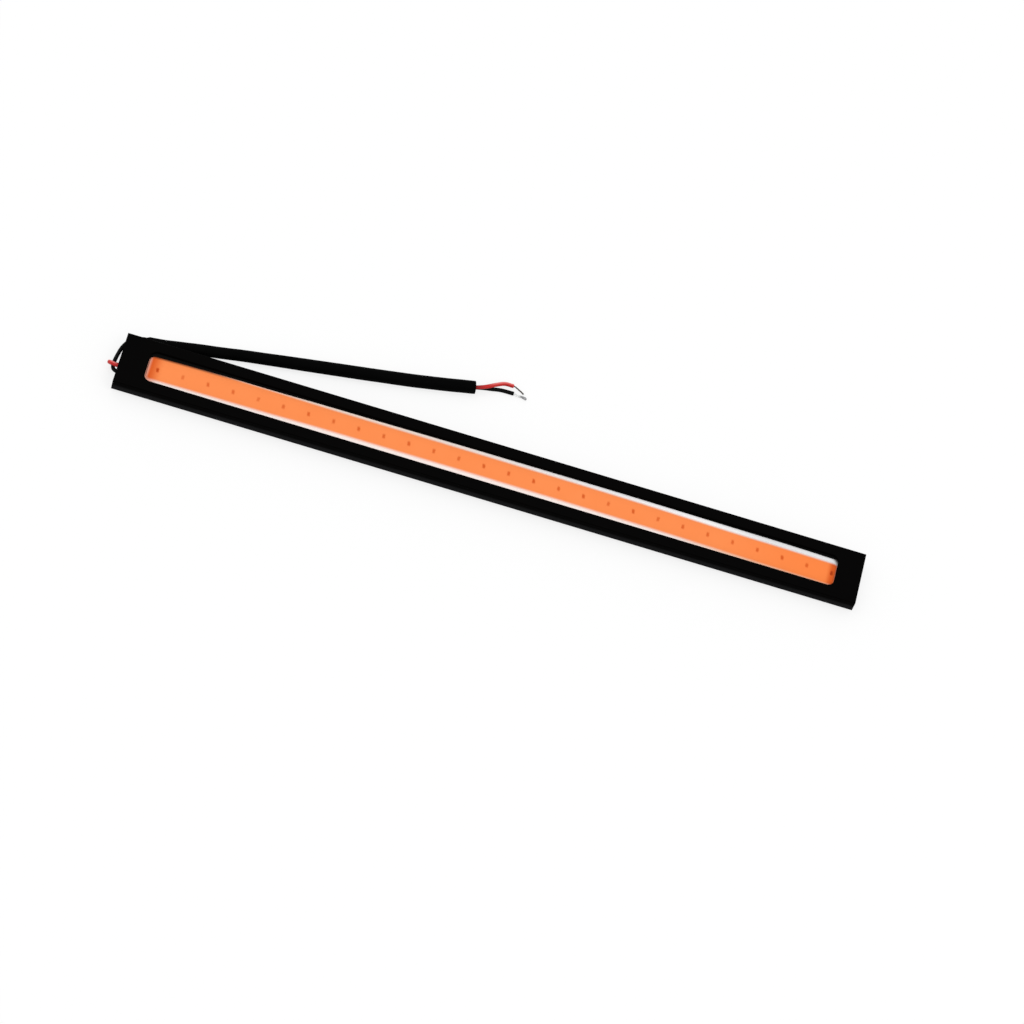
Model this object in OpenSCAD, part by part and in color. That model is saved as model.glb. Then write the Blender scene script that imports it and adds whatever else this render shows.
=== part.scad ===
// Bar-shaped daytime running light: a black extruded channel with a long window over a strip of
// light-emitting dies under orange phosphor, stuck on with foam tape and fed by a two-wire lead.
// X runs along the bar, away from the lead's end. Z points out of the lit face. Z = 0 is what it lies on.

/* [Housing] */
// Length of the channel
body_l = 170; // [130:5:260]
// Width of the channel
body_w = 13; // [12:0.5:18]
// Height of the channel, without the tape
body_h = 3.3; // [3:0.1:5]
// Thickness of the side walls
side_wall = 0.8; // [0.6:0.1:1]
// Thickness of the lit face
front_wall = 0.6; // [0.5:0.05:0.9]
// Radius along the two long edges of the lit face
edge_r = 0.25; // [0.2:0.05:0.5]

/* [Window] */
// From the lead's end of the channel to the window
margin_lead_end = 6.2; // [6:0.1:12]
// From the plain end of the channel to the window
margin_plain_end = 5.7; // [5.5:0.1:12]
// From the long edge of the channel to the window
side_border = 2.66; // [2.2:0.02:3.4]
// Corner radius of the window
window_r = 1.5; // [0.5:0.1:2]
// Bevel round the window's outer rim
window_bevel = 0.12; // [0.05:0.01:0.2]

/* [Circuit board] */
// Thickness of the board
board_t = 1; // [0.8:0.1:1.2]
// Gap between the board and each side wall
board_gap = 0.25; // [0.22:0.01:0.35]
// From the lead's end of the channel to the board
board_set_lead_end = 3.5; // [3.2:0.1:3.8]
// From the plain end of the channel to the board
board_set_plain_end = 1.5; // [1.2:0.1:1.7]
// How far the board's ends sit off the channel's centre line
board_lean = 0.08; // [0:0.02:0.2]
// Radius of the board's corners
board_corner_r = 0.6; // [0.2:0.1:1]

/* [Seal] */
// Thickness of the seal between the lit face and the board
seal_t = 0.3; // [0.25:0.01:0.4]
// How far the seal stays back from the window's edge
seal_set_back = 0.15; // [0.1:0.05:0.3]
// Width of the seal's bars across the two ends
seal_bar = 1.1; // [0.8:0.1:1.2]

/* [Light strip] */
// White rim left between the window's long edge and the phosphor
white_rim = 1.04; // [0.9:0.02:1.3]
// White rim at the lead's end of the phosphor
white_rim_end = 0.4; // [0.2:0.1:1]
// How far the phosphor runs on under the lit face at the plain end
phosphor_overrun = 0.6; // [0.2:0.1:0.7]
// Height of the phosphor bead at its crown
phosphor_h = 0.27; // [0.22:0.01:0.28]
// Height of the phosphor bead at its edges
phosphor_edge_h = 0.08; // [0.05:0.01:0.12]
// Sideways shift of the phosphor bead's middle
phosphor_shift = 0.1; // [0:0.05:0.3]
// How far the bead's ends sit off its middle
phosphor_lean = 0.45; // [0:0.05:0.5]
// Distance from one die to the next
die_pitch = 5.735; // [4:0.005:8]
// Size of a die along the bar
die_l = 0.6; // [0.4:0.05:0.8]
// Size of a die across the bar
die_w = 1.1; // [0.7:0.05:1.3]
// Height of a die
die_h = 0.14; // [0.1:0.01:0.16]
// Sideways shift of the row of dies
die_shift = 0.24; // [0:0.01:0.4]
// How far the end dies sit off the line of the middle ones
die_bow = 0.58; // [0:0.02:0.6]
// From the bead's lead end to the first die's middle
first_die = 2; // [1.2:0.05:2.5]

/* [Soldered parts] */
// Radius of a solder joint
solder_r = 0.5; // [0.35:0.05:0.55]
// Height of a solder joint
solder_h = 0.24; // [0.2:0.01:0.25]
// Width of a flattened conductor on its pad
lead_w = 0.5; // [0.3:0.05:0.6]
// Thickness of a flattened conductor on its pad
lead_t = 0.14; // [0.1:0.01:0.18]
// Length of a resistor
resistor_l = 1; // [0.8:0.1:1.6]
// Width of a resistor
resistor_w = 0.5; // [0.4:0.05:0.6]
// Height of a resistor
resistor_h = 0.24; // [0.18:0.01:0.24]
// Distance between the two resistors
resistor_gap = 3.4; // [2:0.1:5]

/* [Plugs and potting] */
// How far the two plugs stay back from the channel's ends
plug_recess = 0.15; // [0.05:0.05:0.3]
// From the lead's end of the channel to the inner face of its plug
plug_l = 2.7; // [2.4:0.1:3]

/* [Tape] */
// Thickness of the foam tape
tape_t = 1; // [1:0.1:2]
// Thickness of the release liner
liner_t = 0.1; // [0.05:0.01:0.15]
// From the channel's long edge to the tape
tape_inset = 1.5; // [1:0.1:3]
// From the lead's end of the channel to the tape
tape_set_lead_end = 5.2; // [5:0.1:12]
// From the plain end of the channel to the tape
tape_set_plain_end = 1.5; // [1:0.1:6]

/* [Lead] */
// Outside diameter of a wire
wire_d = 0.9; // [0.7:0.05:0.92]
// Diameter of the copper inside a wire
core_d = 0.44; // [0.3:0.02:0.5]
// Play round a wire in its plug
wire_play = 0.03; // [0.02:0.01:0.06]
// Wall of the sleeve
sleeve_wall = 0.18; // [0.12:0.02:0.2]
// Sides of a wire and of the sleeve
cord_sides = 8; // [8:4:12]

/* [Hidden] */
$fn = 48;
over = 1;

// Small set sizes: distances from edges, clearances and corner radii
solder_set_back = 0.05;
resistor_set_back = 0.6;
resistor_cap_step = 0.02;
lead_overhang = 0.1;
lead_past_pad = 0.15;
lead_end_t = 0.02;
board_end_gap = 0.15;
potting_set_back = 0.3;
seal_inset = 0.2;
bead_corner_r = 0.8;
crown_flats = 14;
tape_corner_r = 0.5;
drill_run = 0.4;
lie_gap = 0.02;
cut_gap = 0.02;
pad_inset = 1.65;
pad_pitch = 2.2;

// Levels, from what the bar lies on upwards
tape_bottom = liner_t;
body_bottom = tape_bottom + tape_t;
body_top = body_bottom + body_h;
face_under = body_top - front_wall;
board_top = face_under - seal_t;
board_bottom = board_top - board_t;

// Places along the bar
lead_end = -body_l / 2;
plain_end = body_l / 2;
window_x0 = lead_end + margin_lead_end;
window_x1 = plain_end - margin_plain_end;
board_x0 = lead_end + board_set_lead_end;
board_x1 = plain_end - board_set_plain_end;
bead_x0 = window_x0 + white_rim_end;
bead_x1 = window_x1 + phosphor_overrun;
bead_l = bead_x1 - bead_x0;
seal_in_x0 = window_x0 - seal_set_back;
seal_in_x1 = bead_x1 + seal_set_back;
plain_plug_x0 = board_x1 + board_end_gap;
pad_x = board_x0 + solder_set_back + solder_r;
resistor_x = board_x1 - resistor_set_back - resistor_w / 2;

// Sizes across the bar
window_w = body_w - 2 * side_border;
channel_w = body_w - 2 * side_wall;
board_w = channel_w - 2 * board_gap;
bead_w = window_w - 2 * white_rim;
seal_w = board_w - 2 * seal_inset;
seal_in_w = window_w + 2 * seal_set_back;
black_pad_y = pad_inset - board_w / 2;
red_pad_y = black_pad_y + pad_pitch;

// Turns of the board and the bead, and the number of dies that fit
board_turn = -asin(board_lean / ((board_x1 - board_x0) / 2));
bead_turn = -asin(2 * phosphor_lean / bead_l);
die_room = bead_l - first_die - die_l;
die_count = floor(die_room / die_pitch) + 1;

// Where the wires pass through the plug, measured from the middle of the channel's lead end
red_drop = 0.7;
black_drop_in = 1.05;
black_drop_out = 1.5;
black_swing = 1.15;
red_in = [plug_l, red_pad_y, face_under - red_drop];
red_out = [0, red_pad_y, face_under - red_drop];
black_in = [plug_l, black_pad_y, face_under - black_drop_in];
black_out = [0, black_pad_y + black_swing, face_under - black_drop_out];

// Routes, from the middle of the channel's lead end: loop outside the end, then under the corner
red_loop = [
    [-0.7, -1.5, 3.1], [-1.45, -1.3, 2.98], [-1.95, -0.9, 2.5], [-2.1, -0.55, 1.8],
    [-1.85, -0.2, 1.1], [-1.3, 0, 0.65], [-0.5, 0.1, 0.5], [0.6, 0.4, 0.5],
    [1.3, 1.3, 0.5], [1.5, 2.6, 0.5], [1.5, 4, 0.5], [1.6, 5.4, 0.52], [2.2, 6.5, 0.62]
];
black_loop = [
    [-0.75, -2.2, 2.15], [-1.05, -1.4, 2], [-1.1, -0.4, 1.85], [-1.05, 0.7, 1.6],
    [-0.95, 1.8, 1.25], [-0.8, 3, 0.85], [-0.6, 4.2, 0.6], [-0.2, 5.4, 0.5],
    [0.5, 6.6, 0.5], [1.7, 7.6, 0.58]
];
// The sleeve lies on the surface, pinched flat round the wires at its first end
sleeve_route = [
    [3.4, 7.7, 0.78], [5.4, 7.9, 0.81], [8, 8.17, 0.86], [11.5, 8.73, 0.98], [15.5, 9.41, 1.09],
    [20, 10.17, 1.14], [25.5, 11.21, 1.18], [31.5, 12.19, 1.27], [38.5, 13.34, 1.39],
    [47, 14.73, 1.47], [56, 16.27, 1.5], [64.5, 17.84, 1.5], [71, 19.21, 1.5], [76.7, 20.53, 1.5]
];
// The stripped tails past the sleeve
red_tail = [[79.2, 21.4, 1.9], [81.05, 22.65, 1.7], [82.95, 23.85, 1.25], [84.9, 24.2, 0.8]];
black_tail = [[78.7, 21.5, 0.75], [80.3, 21.95, 0.52], [82.35, 22.4, 0.48], [85.4, 22.5, 0.5]];
red_bare = [[86.3, 23.85, 0.5], [87.65, 23.25, 0.2]];
black_bare = [[86.4, 22.3, 0.45], [87.4, 22.35, 0.4], [88.5, 22.1, 0.36]];
pair_spread = 0.475;
pinch_play = 0.15;
pinch_w = pair_spread + wire_d / 2 + sleeve_wall + pinch_play;
pair_turn_first = 180;
pair_turn_last = 120;
strand_r = 0.13;
strands_r = 0.34;
// The channel's half width and the heights of the two outlets that the routes were chosen for
route_half_w = 6.5;
red_route_top = 3.1;
black_route_top = 2.3;
lying_z = 0.5;

function unit(v) = v / norm(v);

function near(list, i) = list[max(0, min(len(list) - 1, i))];

// Moves a route out with the channel's far edge. Points at the middle of the channel stay.
function beside(points) = [
    for (p = points)
    p + [0, (body_w / 2 - route_half_w) * min(1, max(0, p[1] / route_half_w)), 0]
];

// Lifts a loop with its outlet. Points that lie on the surface stay.
function lifted(points, rise, top) = [
    for (p = points)
    p + [0, 0, rise * max(0, p[2] - lying_z) / (top - lying_z)]
];

function tangents(p) = [for (i = [0 : len(p) - 1]) unit(near(p, i + 1) - near(p, i - 1))];

// Carries the side direction u along a row of tangents without letting it twist
function carried(t, u, i = 0) =
    i == len(t) ? [] :
    let (v = unit(u - (u * t[i]) * t[i]))
    concat([v], carried(t, v, i + 1));

// One ring of a tube: half sizes a sideways and b upwards
function ring(c, t, u, a, b) =
    let (w = cross(t, u))
    [
        for (k = [0 : cord_sides - 1])
        let (angle = (k + 0.5) * 360 / cord_sides)
        c + a * cos(angle) * u + b * sin(angle) * w
    ];

// Sides between two rings that follow each other in the list of points
function side_faces(first, count, flip) = [
    for (i = [0 : count - 2])
    for (k = [0 : cord_sides - 1])
    let (a = first + i * cord_sides + k)
    let (b = first + i * cord_sides + (k + 1) % cord_sides)
    let (quad = [a, a + cord_sides, b + cord_sides, b])
    flip ? [quad[3], quad[2], quad[1], quad[0]] : quad
];

function joined(rings) = [for (one = rings) each one];

// A ring whose area equals that of the round tube
even = 1 / sqrt(cos(180 / cord_sides));
// A ring whose flats touch the round tube from outside
outside = 1 / cos(180 / cord_sides);

// Half sizes of the sleeve at a place on its route: it lies on the surface, so its height gives them
sleeve_r = sleeve_route[len(sleeve_route) - 1][2] - lie_gap;
pinch_h = sleeve_route[0][2] - lie_gap;
function sleeve_b(c) = c[2] - lie_gap;
function sleeve_a(c) = pinch_w + (sleeve_r - pinch_w) * (sleeve_b(c) - pinch_h) / (sleeve_r - pinch_h);

function level_side(t) = unit(cross([0, 0, 1], t));

// Where one wire of the pair runs inside the sleeve, on its side of the other
function paired(side) =
    let (route = beside(sleeve_route))
    let (t = tangents(route))
    let (last = len(route) - 1)
    [
        for (i = [0 : last])
        let (u = level_side(t[i]))
        let (turn = pair_turn_first + (pair_turn_last - pair_turn_first) * i / last)
        route[i] + side * pair_spread * (cos(turn) * u + sin(turn) * cross(t[i], u))
    ];

module at_lead_end() {
    translate([lead_end, 0, 0])
        children();
}

// A solid tube of one radius along a list of points
module cord(points, r) {
    t = tangents(points);
    u = carried(t, [0, 0.6, 0.8]);
    rings = [for (i = [0 : len(points) - 1]) ring(points[i], t[i], u[i], r * even, r * even)];
    last = (len(points) - 1) * cord_sides;
    polyhedron(
        joined(rings),
        concat(
            side_faces(0, len(points), false),
            [[for (k = [0 : cord_sides - 1]) k]],
            [[for (k = [cord_sides - 1 : -1 : 0]) last + k]]
        )
    );
}

// A straight round rod from one point to another
module rod(from, to, r) {
    d = to - from;
    translate(from)
        rotate([0, acos(d[2] / norm(d)), atan2(d[1], d[0])])
            cylinder(h = norm(d), r = r);
}

// A flat outline with round corners, from x0 to x1 and w wide
module round_plan(x0, x1, w, r) {
    translate([x0 + r, -w / 2])
        square([x1 - x0 - 2 * r, w]);
    translate([x0, -w / 2 + r])
        square([x1 - x0, w - 2 * r]);
    for (x = [x0 + r, x1 - r])
        for (y = [-w / 2 + r, w / 2 - r])
            translate([x, y])
                circle(r);
}

// Sweeps a section, drawn as width and height, along the bar
module along_bar(x0, x1) {
    translate([x0, 0, 0])
        rotate([90, 0, 90])
            linear_extrude(x1 - x0)
                children();
}

module channel_section() {
    difference() {
        union() {
            translate([-body_w / 2, body_bottom])
                square([body_w, body_h - edge_r]);
            translate([-body_w / 2 + edge_r, body_bottom])
                square([body_w - 2 * edge_r, body_h]);
            for (side = [-1, 1])
                translate([side * (body_w / 2 - edge_r), body_top - edge_r])
                    circle(edge_r);
        }
        translate([-channel_w / 2, body_bottom - over])
            square([channel_w, body_h - front_wall + over]);
    }
}

// Section of the bevel cut at a distance from the window's axis or from a corner's centre
module bevel_section(distance) {
    b = window_bevel;
    polygon([[distance - b, -2 * b], [distance + 2 * b, b], [distance - b, b]]);
}

// The bevel round the window: sides and ends as prisms, corners as turned rings
module window_bevel_cut() {
    half_l = (window_x1 - window_x0) / 2;
    half_w = window_w / 2;
    translate([(window_x0 + window_x1) / 2, 0, body_top])
        for (side = [-1, 1]) {
            mirror([0, side > 0 ? 1 : 0, 0])
                along_bar(window_r - half_l, half_l - window_r)
                    bevel_section(half_w);
            rotate([0, 0, 90])
                mirror([0, side > 0 ? 1 : 0, 0])
                    along_bar(window_r - half_w, half_w - window_r)
                        bevel_section(half_l);
            for (end = [-1, 1])
                translate([end * (half_l - window_r), side * (half_w - window_r), 0])
                    rotate_extrude(angle = 90, start = side > 0 ? (end > 0 ? 0 : 90) : (end > 0 ? 270 : 180))
                        bevel_section(window_r);
        }
}

module housing() {
    color([0.03, 0.03, 0.03])
        difference() {
            along_bar(lead_end, plain_end)
                channel_section();
            translate([0, 0, face_under - over])
                linear_extrude(front_wall + 2 * over)
                    round_plan(window_x0, window_x1, window_w, window_r);
            window_bevel_cut();
        }
}

module seal() {
    color([0.06, 0.06, 0.06])
        translate([0, 0, board_top])
            linear_extrude(seal_t)
                difference() {
                    round_plan(seal_in_x0 - seal_bar, seal_in_x1 + seal_bar, seal_w, board_corner_r);
                    round_plan(seal_in_x0, seal_in_x1, seal_in_w, window_r);
                }
}

// Places what lies on the board, with the board's slight turn in its channel
module on_board() {
    translate([(board_x0 + board_x1) / 2, 0, 0])
        rotate([0, 0, board_turn])
            translate([-(board_x0 + board_x1) / 2, 0, 0])
                children();
}

module circuit_board() {
    color([0.95, 0.95, 0.94])
        on_board()
            translate([0, 0, board_bottom])
                linear_extrude(board_t)
                    round_plan(board_x0, board_x1, board_w, board_corner_r);
}

// The row of dies, with each block carried on below the board's face by the given depth
module die_blocks(below) {
    on_board()
        for (i = [0 : die_count - 1]) {
            x = bead_x0 + first_die + i * die_pitch;
            y = die_shift - die_bow * pow(2 * x / bead_l, 2);
            translate([x - die_l / 2, y - die_w / 2, board_top - below])
                cube([die_l, die_w, die_h + below]);
        }
}

module led_dies() {
    color([0.55, 0.22, 0.1])
        die_blocks(0);
}

// Crowned section of the phosphor bead: a shallow arc of flats over low straight edges
module bead_section() {
    rise = phosphor_h - phosphor_edge_h;
    crown_r = (rise * rise + bead_w * bead_w / 4) / (2 * rise);
    crown = [
        for (i = [0 : crown_flats])
        let (y = bead_w * (i / crown_flats - 0.5))
        [y, phosphor_h - crown_r + sqrt(crown_r * crown_r - y * y)]
    ];
    polygon(concat(crown, [[bead_w / 2, 0], [-bead_w / 2, 0]]));
}

module phosphor_strip() {
    color([0.98, 0.47, 0.16])
        difference() {
            translate([(bead_x0 + bead_x1) / 2, phosphor_shift, board_top])
                rotate([0, 0, bead_turn])
                    intersection() {
                        along_bar(-bead_l / 2, bead_l / 2)
                            bead_section();
                        linear_extrude(phosphor_h + over)
                            round_plan(-bead_l / 2, bead_l / 2, bead_w, bead_corner_r);
                    }
            die_blocks(over);
        }
}

// The flattened conductor end on its pad, at a place across the bar
module pad_strip(y) {
    translate([board_x0 - lead_overhang, y - lead_w / 2, board_top])
        cube([pad_x - board_x0 + lead_overhang + lead_past_pad, lead_w, lead_t]);
}

module solder_joints() {
    cap_r = (solder_r * solder_r + solder_h * solder_h) / (2 * solder_h);
    color([0.72, 0.73, 0.74])
        for (y = [red_pad_y, black_pad_y])
            difference() {
                intersection() {
                    translate([pad_x, y, board_top + solder_h - cap_r])
                        sphere(cap_r);
                    translate([pad_x - over, y - over, board_top])
                        cube([2 * over, 2 * over, over]);
                }
                pad_strip(y);
            }
}

module conductor_ends() {
    color([0.78, 0.5, 0.28])
        for (wire = [[red_in, unit(red_in - red_out)], [black_in, unit(black_in - black_out)]]) {
            pad_strip(wire[0][1]);
            hull() {
                translate([board_x0 - lead_overhang, wire[0][1] - lead_w / 2, board_top])
                    cube([lead_end_t, lead_w, lead_t]);
                at_lead_end()
                    rod(wire[0] + cut_gap * wire[1], wire[0] + 2 * cut_gap * wire[1], core_d / 2, $fn = 16);
            }
        }
}

module resistors() {
    cap = resistor_l / 4;
    step = resistor_cap_step;
    color([0.12, 0.12, 0.13])
        on_board()
            for (side = [-1, 1])
                translate([resistor_x, side * resistor_gap / 2, board_top]) {
                    translate([-resistor_w / 2, -resistor_l / 2, step])
                        cube([resistor_w, resistor_l, resistor_h - 2 * step]);
                    for (end = [-1, 1])
                        translate([-resistor_w / 2 - step, end * (resistor_l - cap) / 2 - cap / 2, 0])
                            cube([resistor_w + 2 * step, cap, resistor_h]);
                }
}

// A block across the inside of the channel, from its open back up to z
module channel_block(x0, x1, z) {
    translate([x0, -channel_w / 2, body_bottom])
        cube([x1 - x0, channel_w, z - body_bottom]);
}

module potting() {
    color([0.05, 0.05, 0.055])
        channel_block(lead_end + plug_l + potting_set_back, plain_plug_x0, board_bottom);
}

module lead_plug() {
    color([0.09, 0.09, 0.09])
        difference() {
            channel_block(lead_end + plug_recess, lead_end + plug_l, face_under);
            at_lead_end()
                for (wire = [[red_in, red_out], [black_in, black_out]]) {
                    run = drill_run * (wire[0] - wire[1]);
                    rod(wire[0] + run, wire[1] - run, wire_d / 2 + wire_play);
                }
        }
}

module plain_plug() {
    color([0.09, 0.09, 0.09])
        channel_block(plain_plug_x0, plain_end - plug_recess, face_under);
}

module tape_plan() {
    x0 = lead_end + tape_set_lead_end;
    x1 = plain_end - tape_set_plain_end;
    round_plan(x0, x1, body_w - 2 * tape_inset, tape_corner_r);
}

module foam_tape() {
    color([0.2, 0.2, 0.21])
        translate([0, 0, tape_bottom])
            linear_extrude(tape_t)
                tape_plan();
}

module release_liner() {
    color([0.75, 0.1, 0.08])
        linear_extrude(liner_t)
            tape_plan();
}

red_run = lifted(beside(red_loop), red_out[2] - red_route_top, red_route_top);
black_run = lifted(beside(black_loop), black_out[2] - black_route_top, black_route_top);

module red_wire() {
    color([0.72, 0.1, 0.09])
        at_lead_end()
            cord(concat([red_in, red_out], red_run, paired(1), beside(red_tail)), wire_d / 2);
}

module black_wire() {
    color([0.05, 0.05, 0.05])
        at_lead_end()
            cord(concat([black_in, black_out], black_run, paired(-1), beside(black_tail)), wire_d / 2);
}

// The copper past the end of the insulation starts a hair off its cut face, square to it
module bare_end(tail, bare, r) {
    last = tail[len(tail) - 1];
    ahead = unit(last - tail[len(tail) - 2]);
    color([0.75, 0.75, 0.76])
        at_lead_end()
            cord(concat([last + cut_gap * ahead, last + r * ahead], bare), r);
}

module red_strand() {
    bare_end(beside(red_tail), beside(red_bare), strand_r);
}

module black_strands() {
    bare_end(beside(black_tail), beside(black_bare), strands_r);
}

module sleeve() {
    route = beside(sleeve_route);
    count = len(route);
    t = tangents(route);
    outer = [
        for (i = [0 : count - 1])
        let (c = route[i])
        ring(c, t[i], level_side(t[i]), sleeve_a(c) * even, sleeve_b(c) * even)
    ];
    inner = [
        for (i = [0 : count - 1])
        let (c = route[i])
        ring(c, t[i], level_side(t[i]), (sleeve_a(c) - sleeve_wall) * outside,
            (sleeve_b(c) - sleeve_wall) * outside)
    ];
    start = count * cord_sides;
    last = (count - 1) * cord_sides;
    color([0.04, 0.04, 0.04])
        at_lead_end()
            polyhedron(
                concat(joined(outer), joined(inner)),
                concat(
                    side_faces(0, count, false),
                    side_faces(start, count, true),
                    [
                        for (k = [0 : cord_sides - 1])
                        let (n = (k + 1) % cord_sides)
                        [k, n, start + n, start + k]
                    ],
                    [
                        for (k = [0 : cord_sides - 1])
                        let (n = (k + 1) % cord_sides)
                        [last + n, last + k, start + last + k, start + last + n]
                    ]
                )
            );
}

housing();
seal();
circuit_board();
led_dies();
phosphor_strip();
solder_joints();
resistors();
conductor_ends();
potting();
lead_plug();
plain_plug();
foam_tape();
release_liner();
red_wire();
black_wire();
red_strand();
black_strands();
sleeve();
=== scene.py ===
"""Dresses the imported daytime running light: cords, phosphor, finishes, floor, lamps and camera."""
import math

import bpy
from mathutils import Matrix, Vector, noise


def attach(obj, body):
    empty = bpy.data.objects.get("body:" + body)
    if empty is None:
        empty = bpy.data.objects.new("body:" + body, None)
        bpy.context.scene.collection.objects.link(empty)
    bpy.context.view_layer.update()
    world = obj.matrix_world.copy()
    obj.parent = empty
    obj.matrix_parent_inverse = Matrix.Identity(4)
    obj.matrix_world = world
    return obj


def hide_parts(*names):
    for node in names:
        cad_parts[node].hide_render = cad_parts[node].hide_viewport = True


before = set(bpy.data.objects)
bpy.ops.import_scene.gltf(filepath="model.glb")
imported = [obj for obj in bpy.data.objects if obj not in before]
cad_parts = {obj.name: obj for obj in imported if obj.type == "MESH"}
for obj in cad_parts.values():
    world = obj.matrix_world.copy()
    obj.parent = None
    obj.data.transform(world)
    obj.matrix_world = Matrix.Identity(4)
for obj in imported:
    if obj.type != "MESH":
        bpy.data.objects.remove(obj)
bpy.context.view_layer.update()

MM = 0.001

# Sizes repeated from the part's source, in millimetres
LEAD_END = -85.0
BODY_BOTTOM = 1.1
BOARD_TOP = 3.5
FACE_UNDER = 3.8
WINDOW_X0 = -78.8
WINDOW_X1 = 79.3
WIRE_R = 0.45
SLEEVE_WALL = 0.18
SLEEVE_R = 1.48
LIE_GAP = 0.02
PINCH_W = 1.255
PINCH_H = 0.76
PAIR_SPREAD = 0.475
PAIR_TURN_FIRST = 180.0
PAIR_TURN_LAST = 120.0
DIE_PITCH = 5.735
FIRST_DIE_X = -76.4
DIE_LINE_Y = 0.24
DIE_LINE_SLOPE = -0.001
DIE_LINE_BOW = -0.000095

# The lead's routes in millimetres, from the middle of the channel's lead end
RED_PLUG = [(2.7, -1.6, 3.1), (0, -1.6, 3.1)]
BLACK_PLUG = [(2.7, -3.8, 2.75), (0, -2.65, 2.3)]
RED_LOOP = [
    (-0.7, -1.5, 3.1), (-1.45, -1.3, 2.98), (-1.95, -0.9, 2.5), (-2.1, -0.55, 1.8),
    (-1.85, -0.2, 1.1), (-1.3, 0, 0.65), (-0.5, 0.1, 0.5), (0.6, 0.4, 0.5),
    (1.3, 1.3, 0.5), (1.5, 2.6, 0.5), (1.5, 4, 0.5), (1.6, 5.4, 0.52), (2.2, 6.5, 0.62),
]
BLACK_LOOP = [
    (-0.75, -2.2, 2.15), (-1.05, -1.4, 2), (-1.1, -0.4, 1.85), (-1.05, 0.7, 1.6),
    (-0.95, 1.8, 1.25), (-0.8, 3, 0.85), (-0.6, 4.2, 0.6), (-0.2, 5.4, 0.5),
    (0.5, 6.6, 0.5), (1.7, 7.6, 0.58),
]
SLEEVE_ROUTE = [
    (3.4, 7.7, 0.78), (5.4, 7.9, 0.81), (8, 8.17, 0.86), (11.5, 8.73, 0.98), (15.5, 9.41, 1.09),
    (20, 10.17, 1.14), (25.5, 11.21, 1.18), (31.5, 12.19, 1.27), (38.5, 13.34, 1.39),
    (47, 14.73, 1.47), (56, 16.27, 1.5), (64.5, 17.84, 1.5), (71, 19.21, 1.5), (76.7, 20.53, 1.5),
]
RED_TAIL = [(79.2, 21.4, 1.9), (81.05, 22.65, 1.7), (82.95, 23.85, 1.25), (84.9, 24.2, 0.8)]
BLACK_TAIL = [(78.7, 21.5, 0.75), (80.3, 21.95, 0.52), (82.35, 22.4, 0.48), (85.4, 22.5, 0.5)]
RED_BARE = [(86.3, 23.85, 0.5), (87.65, 23.25, 0.2)]
BLACK_BARE = [(86.4, 22.3, 0.45), (87.4, 22.35, 0.4), (88.5, 22.1, 0.36)]


# Camera: eye, turn and focal length fitted to the bar's corners and window in the photograph
def make_camera():
    data = bpy.data.cameras.new("camera")
    data.sensor_width = 36.0
    data.lens = 169.965
    data.clip_start = 0.05
    data.clip_end = 20.0
    camera = bpy.data.objects.new("camera", data)
    bpy.context.scene.collection.objects.link(camera)
    # Each turn is about the camera's own axes: heading, then tilt, then roll
    heading, tilt, roll = (math.radians(a) for a in (-5.01, 30.857, 20.989))
    turn = (Matrix.Rotation(heading, 4, "Z") @ Matrix.Rotation(tilt, 4, "X")
            @ Matrix.Rotation(roll, 4, "Z"))
    camera.matrix_world = Matrix.Translation((-0.040627, -0.549885, 0.912624)) @ turn
    bpy.context.scene.camera = camera


make_camera()


# Curves through chosen points
def lead_points(points):
    """The given points as vectors in millimetres in the part's frame."""
    return [Vector((x + LEAD_END, y, z)) for x, y, z in points]


def smooth_path(points, spacing):
    """A centripetal spline through the points, with a point about every spacing millimetres."""
    ends = [2 * points[0] - points[1]] + points + [2 * points[-1] - points[-2]]
    path = []
    for p0, p1, p2, p3 in zip(ends, ends[1:], ends[2:], ends[3:]):
        t1 = (p1 - p0).length ** 0.5
        t2 = t1 + (p2 - p1).length ** 0.5
        t3 = t2 + (p3 - p2).length ** 0.5
        steps = max(2, round((p2 - p1).length / spacing))
        for i in range(steps):
            t = t1 + (t2 - t1) * i / steps
            a1 = p0.lerp(p1, t / t1)
            a2 = p1.lerp(p2, (t - t1) / (t2 - t1))
            a3 = p2.lerp(p3, (t - t2) / (t3 - t2))
            b1 = a1.lerp(a2, t / t2)
            b2 = a2.lerp(a3, (t - t1) / (t3 - t1))
            path.append(b1.lerp(b2, (t - t1) / (t2 - t1)))
    path.append(points[-1].copy())
    return path


def tangents(path):
    last = len(path) - 1
    return [(path[min(i + 1, last)] - path[max(i - 1, 0)]).normalized() for i in range(last + 1)]


def carried_sides(along, side):
    """A side direction at each tangent, carried on without twisting."""
    sides = []
    for t in along:
        side = (side - side.dot(t) * t).normalized()
        sides.append(side)
    return sides


def paired(side):
    """Where one wire of the pair runs inside the sleeve."""
    route = lead_points(SLEEVE_ROUTE)
    points = []
    for i, (c, t) in enumerate(zip(route, tangents(route))):
        u = Vector((0, 0, 1)).cross(t).normalized()
        share = i / (len(route) - 1)
        turn = math.radians(PAIR_TURN_FIRST + (PAIR_TURN_LAST - PAIR_TURN_FIRST) * share)
        points.append(c + side * PAIR_SPREAD * (math.cos(turn) * u + math.sin(turn) * t.cross(u)))
    return points


# Meshes, drawn in millimetres
def mesh_piece(name, points, faces, smooth=True):
    mesh = bpy.data.meshes.new(name)
    mesh.from_pydata([tuple(p * MM) for p in points], [], faces)
    mesh.validate()
    if smooth:
        mesh.shade_smooth()
    piece = bpy.data.objects.new(name, mesh)
    bpy.context.scene.collection.objects.link(piece)
    return piece


def ring_faces(first, second, sides):
    """The faces between two rings of points, each given by its first index."""
    return [
        (first + k, first + (k + 1) % sides, second + (k + 1) % sides, second + k)
        for k in range(sides)
    ]


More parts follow.
